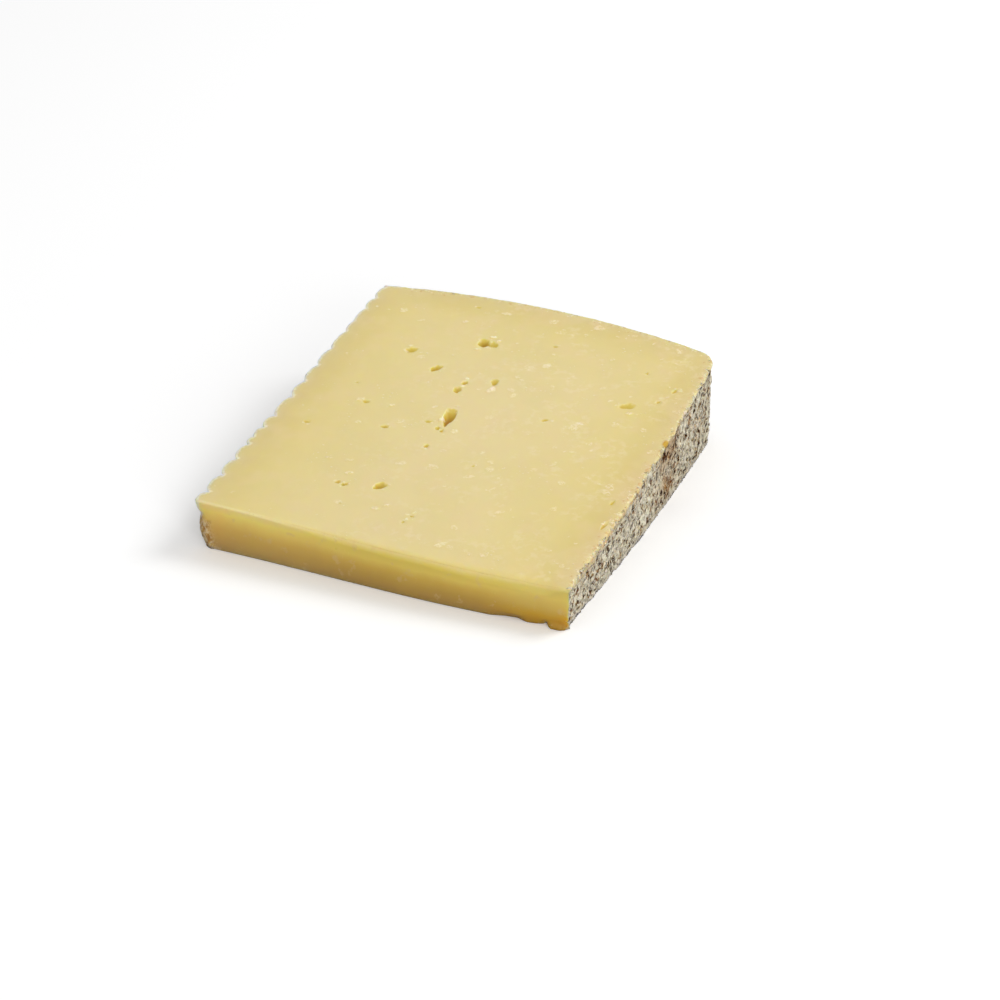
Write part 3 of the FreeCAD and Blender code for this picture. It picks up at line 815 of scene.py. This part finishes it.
for name, values in {
    "rind": rind_share,
    "end_crust": end_crust,
    "rind_distance": from_rind,
    "relief": relief,
    "eye": eye_tone_and_shade,
    "flake": flake_and_glint_share,
    "front": facing_front,
    "front_height": points[:, 2] / height(points[:, 0], points[:, 1]),
    "across": across,
    "painted_edge_highlight": painted_edge_highlight,
    "ridged": is_ridged,
    "above_floor": shape[:, 2],
    "stain": stain,
    "brown_area": brown_area,
}.items():
    store(name, values)

cheese = bpy.data.objects.new("cheese_wedge", mesh)
bpy.context.scene.collection.objects.link(cheese)

# -------------------- The material.

SCATTER_REACH = 6.0     # of red light inside the paste

# Colours of the square cut by the share of its height, at its left, in its middle and at its right: painted
# shade darker and browner lower down, painted light near the upper edge and at the left end, and an orange
# rind stain at the lower right.
LEFT_SHADED_COLOURS = {0.05: (190, 154, 90), 0.30: (211, 172, 90), 0.50: (226, 188, 96), 0.68: (240, 212, 112),
                0.84: (247, 229, 126), 0.97: (240, 218, 150)}
MIDDLE_SHADED_COLOURS = {0.05: (182, 143, 76), 0.30: (201, 162, 76), 0.50: (221, 185, 85), 0.68: (235, 212, 106),
                  0.84: (229, 208, 102), 0.97: (232, 213, 142)}
RIGHT_SHADED_COLOURS = {0.02: (182, 126, 22), 0.25: (214, 168, 52), 0.45: (225, 193, 96), 0.70: (235, 211, 114),
                 0.88: (223, 205, 114), 0.98: (231, 213, 142)}
# The others go by the distance from the rind, from pale to pitted, by noise and from an eye's border in; the
# eyes' darker orange deep in is painted shade.
PASTE_COLOURS = {0.0: (218, 197, 148), 0.022: (219, 198, 144), 0.07: (218, 197, 133), 0.15: (221, 201, 131),
                 0.28: (226, 207, 139), 0.6: (228, 210, 148), 1.0: (229, 211, 154)}
RIND_COLOURS = {0.00: (254, 246, 220), 0.20: (236, 220, 182), 0.40: (200, 177, 134), 0.60: (136, 102, 60),
                0.85: (58, 36, 16)}
CRUST_COLOURS = {0.34: (160, 108, 56), 0.48: (198, 148, 82), 0.64: (222, 184, 118)}
EYE_COLOURS_AND_SHADE = {0.00: (228, 212, 140), 0.35: (220, 200, 98), 0.70: (208, 176, 56), 1.00: (186, 134, 24)}


def linear(part):
    """A share of a colour as seen on a screen, as the linear number that shaders take."""
    return part / 12.92 if part <= 0.04045 else ((part + 0.055) / 1.055) ** 2.4


def colour(red, green, blue):
    """A colour for shaders, written from 0 to 255 as seen on a screen."""
    return (*(linear(part / 255.0) for part in (red, green, blue)), 1.0)


class Nodes:
    """Short ways to add nodes to a material or a world."""

    def __init__(self, owner):
        self.owner = owner
        owner.use_nodes = True
        self.tree = owner.node_tree
        self.tree.nodes.clear()
        self.place = None

    def add(self, kind, links=None, **settings):
        """A node with its settings, and its inputs linked or set."""
        node = self.tree.nodes.new(kind)
        for name, value in settings.items():
            setattr(node, name, value)
        for name, value in (links or {}).items():
            self.feed(node.inputs[name], value)
        return node

    def feed(self, socket, value):
        """Link an output to a socket, or set the socket's own value."""
        if isinstance(value, bpy.types.NodeSocket):
            self.tree.links.new(value, socket)
        else:
            socket.default_value = value

    def kept(self, name):
        """One of the numbers kept on the mesh."""
        return self.add("ShaderNodeAttribute", attribute_name=name).outputs["Fac"]

    def moved(self, shift):
        """The place, moved by that many millimetres each way, so that two noises differ."""
        links = {"Vector": self.place, "Location": (shift * MM,) * 3}
        return self.add("ShaderNodeMapping", links).outputs["Vector"]

    def streaks(self, shift):
        """The place, moved and stretched so that noise makes streaks that rise away from the square cut."""
        links = {"Vector": self.place, "Location": (shift * MM,) * 3, "Rotation": (-0.5, 0.0, 0.0),
                 "Scale": (1.0, 1.0, 1.8)}
        return self.add("ShaderNodeMapping", links, vector_type="TEXTURE").outputs["Vector"]

    def noise(self, size, detail=3.0, roughness=0.55, place=None, distortion=0.0):
        """Noise with features of about that many millimetres."""
        links = {"Vector": place or self.place, "Scale": 1.0 / (size * MM), "Detail": detail,
                 "Roughness": roughness, "Distortion": distortion}
        return self.add("ShaderNodeTexNoise", links).outputs["Fac"]

    def cells(self, size):
        """Distance from scattered points that are about that many millimetres apart."""
        links = {"Vector": self.place, "Scale": 1.0 / (size * MM)}
        return self.add("ShaderNodeTexVoronoi", links).outputs["Distance"]

    def between(self, value, start, end):
        """0 at start and 1 at end, with soft ends."""
        links = {"Value": value, "From Min": start, "From Max": end}
        return self.add("ShaderNodeMapRange", links, interpolation_type="SMOOTHSTEP").outputs["Result"]

    def math(self, operation, first, second=0.0, clamp=False):
        """A number worked out from one or two others."""
        node = self.add("ShaderNodeMath", operation=operation, use_clamp=clamp)
        self.feed(node.inputs[0], first)
        self.feed(node.inputs[1], second)
        return node.outputs[0]

    def times(self, first, second):
        return self.math("MULTIPLY", first, second)

    def plus(self, first, second):
        return self.math("ADD", first, second)

    def minus(self, first, second):
        return self.math("SUBTRACT", first, second)

    def mix(self, share, first, second, blend="MIX"):
        """Two colours mixed, by the share of the second."""
        node = self.add("ShaderNodeMix", data_type="RGBA", blend_type=blend)
        self.feed(node.inputs["Factor"], share)
        self.feed(node.inputs[6], first)
        self.feed(node.inputs[7], second)
        return node.outputs[2]

    def tinted(self, base, share, strength, tint):
        """A colour with another mixed in by a share, of that strength where the share is 1."""
        return self.mix(self.times(share, strength), base, colour(*tint))

    def shaded(self, base, share, tint):
        """A colour multiplied by another, by a share."""
        return self.mix(share, base, self.mix(1.0, base, colour(*tint), "MULTIPLY"))

    def ramp(self, value, colours):
        """A colour by a value, through the colours at their values."""
        node = self.add("ShaderNodeValToRGB", {"Fac": value})
        elements = node.color_ramp.elements
        elements.remove(elements[1])
        (elements[0].position, first), *others = colours.items()
        elements[0].color = colour(*first)
        for position, tint in others:
            elements.new(position).color = colour(*tint)
        return node.outputs["Color"]

    def bump(self, value, depth, normal=None):
        """A normal raised by the value, of that many millimetres."""
        links = {"Height": value, "Distance": depth * MM, "Strength": 1.0}
        if normal is not None:
            links["Normal"] = normal
        return self.add("ShaderNodeBump", links).outputs["Normal"]


def paste_colour(nodes):
    """Pale straw, darker and warmer towards the rind, with faint clouds."""
    distance = nodes.math("DIVIDE", nodes.kept("rind_distance"), 50.0)
    wander = nodes.times(nodes.minus(nodes.noise(6.0), 0.5), 0.05)
    paste = nodes.ramp(nodes.plus(distance, wander), PASTE_COLOURS)
    clouds = nodes.between(nodes.noise(16.0, 2.0), 0.35, 0.65)
    paste = nodes.tinted(paste, clouds, 0.35, (222, 205, 140))
    blush = nodes.between(nodes.noise(11.0, 2.0, place=nodes.moved(40.0)), 0.45, 0.7)
    paste = nodes.tinted(paste, blush, 0.3, (231, 208, 160))
    mottle = nodes.times(nodes.between(nodes.noise(2.4, 3.0), 0.45, 0.68),
                         nodes.between(nodes.noise(9.0, 1.0, place=nodes.moved(55.0)), 0.45, 0.62))
    mottle = nodes.times(mottle, nodes.between(nodes.kept("across"), 0.05, 0.6))
    return nodes.tinted(paste, mottle, 0.3, (240, 224, 186))


def front_colour_with_painted_shade(nodes):
    """The square cut: the paste's warm colour, with painted shade darker and browner lower down, painted
    light near its upper edge and at its left end, and an orange rind stain at its lower right.
    """
    wander = nodes.times(nodes.minus(nodes.noise(9.0, 2.0), 0.5), 0.16)
    height_share = nodes.plus(nodes.kept("front_height"), wander)
    left, middle, right = (nodes.ramp(height_share, colours)
                           for colours in (LEFT_SHADED_COLOURS, MIDDLE_SHADED_COLOURS, RIGHT_SHADED_COLOURS))
    tint = nodes.mix(nodes.between(nodes.kept("across"), 0.72, 0.92), middle, right)
    tint = nodes.mix(nodes.between(nodes.kept("across"), 0.55, 0.15), tint, left)
    tint = nodes.shaded(tint, nodes.between(nodes.kept("across"), 0.13, 0.05), (255, 248, 250))
    blotches = nodes.between(nodes.noise(3.4, 3.0, place=nodes.moved(25.0)), 0.60, 0.72)
    return nodes.tinted(tint, blotches, 0.4, (224, 196, 140))


def speckle_mask(nodes):
    """Tiny pale crumbs in loose clusters."""
    crumbs = nodes.between(nodes.cells(1.5), 0.30, 0.12)
    patches = nodes.between(nodes.noise(8.0, 2.0), 0.56, 0.66)
    broken = nodes.between(nodes.noise(0.7, 2.0), 0.45, 0.6)
    return nodes.times(nodes.times(crumbs, patches), broken)


def strands(nodes, size, shift, width):
    """Thin curly threads, where noise passes through its middle."""
    wavy = nodes.noise(size, 2.0, 0.6, nodes.streaks(shift), 0.6)
    return nodes.between(nodes.math("ABSOLUTE", nodes.minus(wavy, 0.5)), width, 0.0)


def rind_colour(nodes, threads):
    """Pale threads over grey-brown pits, with brown, rusty and mouldy patches, and a painted highlight along
    the foot.
    """
    brown_area = nodes.kept("brown_area")
    grain = nodes.noise(1.5, 3.0, 0.62, nodes.streaks(5.0), 0.5)
    value = nodes.plus(nodes.times(nodes.kept("relief"), 0.5), nodes.times(nodes.minus(grain, 0.464), 6.2))
    tint = nodes.ramp(nodes.plus(value, nodes.times(brown_area, 0.28)), RIND_COLOURS)
    brown = nodes.math("MAXIMUM", nodes.between(nodes.noise(12.0, 3.0), 0.50, 0.64), brown_area)
    tint = nodes.shaded(tint, nodes.times(brown, 0.8), (214, 178, 138))
    rust = nodes.between(nodes.plus(nodes.noise(3.0, 2.0), nodes.times(brown_area, 0.13)), 0.60, 0.66)
    tint = nodes.tinted(tint, rust, 0.7, (142, 92, 48))
    mould = nodes.between(nodes.noise(5.0, 3.0, place=nodes.moved(60.0)), 0.54, 0.66)
    tint = nodes.tinted(tint, mould, 0.45, (214, 209, 192))
    tint = nodes.tinted(tint, threads, 0.9, (252, 244, 220))
    tint = nodes.mix(nodes.kept("ridged"), tint, nodes.mix(0.35, tint, colour(230, 212, 178)))
    tint = nodes.shaded(tint, nodes.times(brown_area, 0.9), (228, 204, 178))
    # Painted highlight: a pale line along the rind's lowest millimetre.
    painted_foot_highlight = nodes.between(nodes.kept("above_floor"), 1.0, 0.45)
    return nodes.tinted(tint, painted_foot_highlight, 0.75, (244, 234, 212))


def crust_colour(nodes, threads):
    """The tan crust that shows at the left end of the square cut."""
    return nodes.tinted(nodes.ramp(nodes.noise(1.8, 3.0, 0.6), CRUST_COLOURS), threads, 0.7, (246, 228, 186))


def spill(nodes, size, shift, fade, start):
    """Crumbs on the cut beside the rind, fewer the farther from it, and hardly any at the ridges."""
    apart = nodes.times(nodes.kept("rind_distance"), fade)
    apart = nodes.plus(apart, nodes.times(nodes.kept("ridged"), 0.12))
    fine = nodes.noise(size, 3.0, 0.6, nodes.moved(shift))
    return nodes.between(nodes.minus(fine, apart), start, start + 0.08)


def cheese_material():
    """Paste, square cut, eyes, flakes, crumbs, crust and rind, each by its own number on the mesh, with
    painted shade on the square cut and in the eyes and painted highlights along some edges.
    """
    nodes = Nodes(bpy.data.materials.new("cheese"))
    nodes.place = nodes.add("ShaderNodeTexCoord").outputs["Object"]
    torn = nodes.times(nodes.minus(nodes.noise(0.9, 2.0), 0.5), 0.6)
    rind = nodes.between(nodes.plus(nodes.kept("rind"), torn), 0.35, 0.65)
    rind = nodes.math("MAXIMUM", rind, spill(nodes, 1.6, 70.0, 0.09, 0.53))
    crust = nodes.between(nodes.plus(nodes.kept("end_crust"), torn), 0.15, 1.1)
    threads = nodes.math("MAXIMUM", strands(nodes, 3.0, 10.0, 0.065), strands(nodes, 2.1, 30.0, 0.06))
    eye = nodes.kept("eye")
    flake = nodes.kept("flake")
    speckle = speckle_mask(nodes)

    tint = nodes.tinted(paste_colour(nodes), speckle, 0.7, (243, 230, 198))
    # The square cut's colours, with painted shade and painted light, where the surface faces forward.
    tint = nodes.mix(nodes.kept("front"), tint, front_colour_with_painted_shade(nodes))
    on_upper_cut = nodes.minus(1.0, nodes.kept("front"))
    dark_crumbs = nodes.times(spill(nodes, 1.5, 15.0, 0.05, 0.50), on_upper_cut)
    tint = nodes.tinted(tint, dark_crumbs, 0.6, (206, 162, 100))
    crumbs = nodes.times(spill(nodes, 1.4, 35.0, 0.05, 0.51), on_upper_cut)
    tint = nodes.tinted(tint, crumbs, 0.65, (248, 232, 200))
    # A pale border beside the ridged rind: partly white mould, partly a painted highlight along the edge.
    rim_gap = nodes.plus(nodes.kept("rind_distance"), nodes.times(torn, 3.0))
    ridge_mould_and_highlight = nodes.times(nodes.kept("ridged"), nodes.between(rim_gap, 1.5, 0.3))
    tint = nodes.tinted(tint, ridge_mould_and_highlight, 0.85, (255, 240, 208))
    # The eyes' own yellow, darker orange as painted shade where deep and on the near side.
    tint = nodes.mix(nodes.between(eye, 0.0, 0.4), tint, nodes.ramp(eye, EYE_COLOURS_AND_SHADE))
    # Pale flakes, with a painted glint on the tallest.
    feathers = nodes.noise(0.9, 4.0, 0.75, nodes.moved(90.0), 0.8)
    broken = nodes.between(nodes.plus(feathers, nodes.times(flake, 0.12)), 0.50, 0.64)
    tint = nodes.mix(nodes.times(broken, nodes.between(flake, 0.0, 1.2)), tint, colour(250, 236, 208))
    # The painted highlight along the square cut's sharp upper edge.
    tint = nodes.tinted(tint, nodes.kept("painted_edge_highlight"), 0.3, (240, 224, 190))
    tint = nodes.mix(crust, tint, crust_colour(nodes, threads))
    tint = nodes.mix(rind, tint, rind_colour(nodes, threads))
    tint = nodes.tinted(tint, nodes.kept("stain"), 0.95, (196, 152, 14))

    rough_share = nodes.math("MAXIMUM", rind, nodes.times(crust, 0.7))
    grain = nodes.times(nodes.noise(0.5, 3.0, 0.6), nodes.plus(0.12, rough_share))
    normal = nodes.bump(grain, 0.35)
    normal = nodes.bump(nodes.times(threads, rough_share), 0.22, normal)
    normal = nodes.bump(nodes.plus(speckle, nodes.times(crumbs, 0.8)), 0.12, normal)
    shader = nodes.add("ShaderNodeBsdfPrincipled", {
        "Base Color": tint,
        "Normal": normal,
        "Roughness": nodes.plus(0.52, nodes.times(rough_share, 0.35)),
        "Specular IOR Level": nodes.minus(0.32, nodes.times(rough_share, 0.24)),
        "Subsurface Weight": nodes.minus(0.85, nodes.times(rough_share, 0.75)),
        "Subsurface Radius": (1.0, 0.72, 0.22),
        "Subsurface Scale": SCATTER_REACH * MM,
    })
    nodes.add("ShaderNodeOutputMaterial", {"Surface": shader.outputs[0]})
    return nodes.owner


mesh.materials.append(cheese_material())
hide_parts(NODE)
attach(cheese, "root")

# -------------------- The stage: floor, world, lamps and camera.

# Places and lengths of the stage are in metres.
FLOOR_REACH = 6.0
FLOOR_SEEN = colour(255, 255, 255)
FLOOR_GLOW = 0.08       # added where the camera sees the floor, so that its far parts stay white
FLOOR_BOUNCE = colour(100, 98, 95)
WORLD_LEVEL = 0.62      # what the world lights with; the camera sees it white
AIM = Vector((0.0, 0.0, 0.015))         # the wedge's middle, which the lamps face
KEY_LAMP = {"place": (0.9, 0.9, 1.25), "size": 0.8, "power": 12.6}
FILL_LAMP = {"place": (0.9, -1.05, 0.4), "size": 0.7, "power": 7.6}

# The camera's place and lens are the photo's, worked out from the corners of the slate under the wedge.
CAMERA_PLACE = (0.24478, -0.55975, 0.33006)
CAMERA_WAY = Vector((-0.34077, 0.80743, -0.48160))
CAMERA_LENS = 82.44     # millimetres, and the sensor's width too
SENSOR_WIDTH = 36.0


def seen_directly(nodes):
    """1 for rays from the camera and for those in reflections and glass, else 0."""
    path = nodes.add("ShaderNodeLightPath")
    share = nodes.math("ADD", path.outputs["Is Camera Ray"], path.outputs["Is Glossy Ray"], clamp=True)
    return nodes.math("ADD", share, path.outputs["Is Transmission Ray"], clamp=True)


def make_floor():
    """A pale floor that is white to the camera and greyer in the light that it throws back."""
    floor_mesh = bpy.data.meshes.new("floor")
    reach = FLOOR_REACH
    corners = [(-reach, -reach, 0), (reach, -reach, 0), (reach, reach, 0), (-reach, reach, 0)]
    floor_mesh.from_pydata(corners, [], [(0, 1, 2, 3)])
    floor = bpy.data.objects.new("floor", floor_mesh)
    bpy.context.scene.collection.objects.link(floor)
    nodes = Nodes(bpy.data.materials.new("floor"))
    seen = seen_directly(nodes)
    matt = nodes.add("ShaderNodeBsdfDiffuse", {"Color": nodes.mix(seen, FLOOR_BOUNCE, FLOOR_SEEN)})
    glow = nodes.add("ShaderNodeEmission", {"Strength": nodes.times(seen, FLOOR_GLOW)})
    both = nodes.add("ShaderNodeAddShader", {0: matt.outputs[0], 1: glow.outputs[0]})
    nodes.add("ShaderNodeOutputMaterial", {"Surface": both.outputs[0]})
    floor_mesh.materials.append(nodes.owner)


def make_world():
    """Even white light, and a white background to the camera, in reflections and through glass."""
    nodes = Nodes(bpy.data.worlds.new("studio"))
    bpy.context.scene.world = nodes.owner
    links = {"Value": seen_directly(nodes), "To Min": WORLD_LEVEL, "To Max": 1.0}
    level = nodes.add("ShaderNodeMapRange", links).outputs["Result"]
    background = nodes.add("ShaderNodeBackground", {"Color": colour(255, 255, 255), "Strength": level})
    nodes.add("ShaderNodeOutputWorld", {"Surface": background.outputs[0]})


def put(name, data, place, way):
    """A lamp or a camera at a place, looking that way."""
    item = bpy.data.objects.new(name, data)
    item.location = place
    item.rotation_euler = way.to_track_quat("-Z", "Y").to_euler()
    bpy.context.scene.collection.objects.link(item)
    return item


def make_lamp(name, place, size, power):
    """A square soft lamp that faces the wedge."""
    lamp = bpy.data.lights.new(name, "AREA")
    lamp.size = size
    lamp.energy = power
    put(name, lamp, place, AIM - Vector(place))


def make_camera():
    """The photo's camera."""
    camera = bpy.data.cameras.new("camera")
    camera.lens = CAMERA_LENS
    camera.sensor_width = SENSOR_WIDTH
    bpy.context.scene.camera = put("camera", camera, CAMERA_PLACE, CAMERA_WAY)


make_floor()
make_world()
make_lamp("key", **KEY_LAMP)
make_lamp("fill", **FILL_LAMP)
make_camera()
bpy.context.scene.view_settings.view_transform = "Standard"
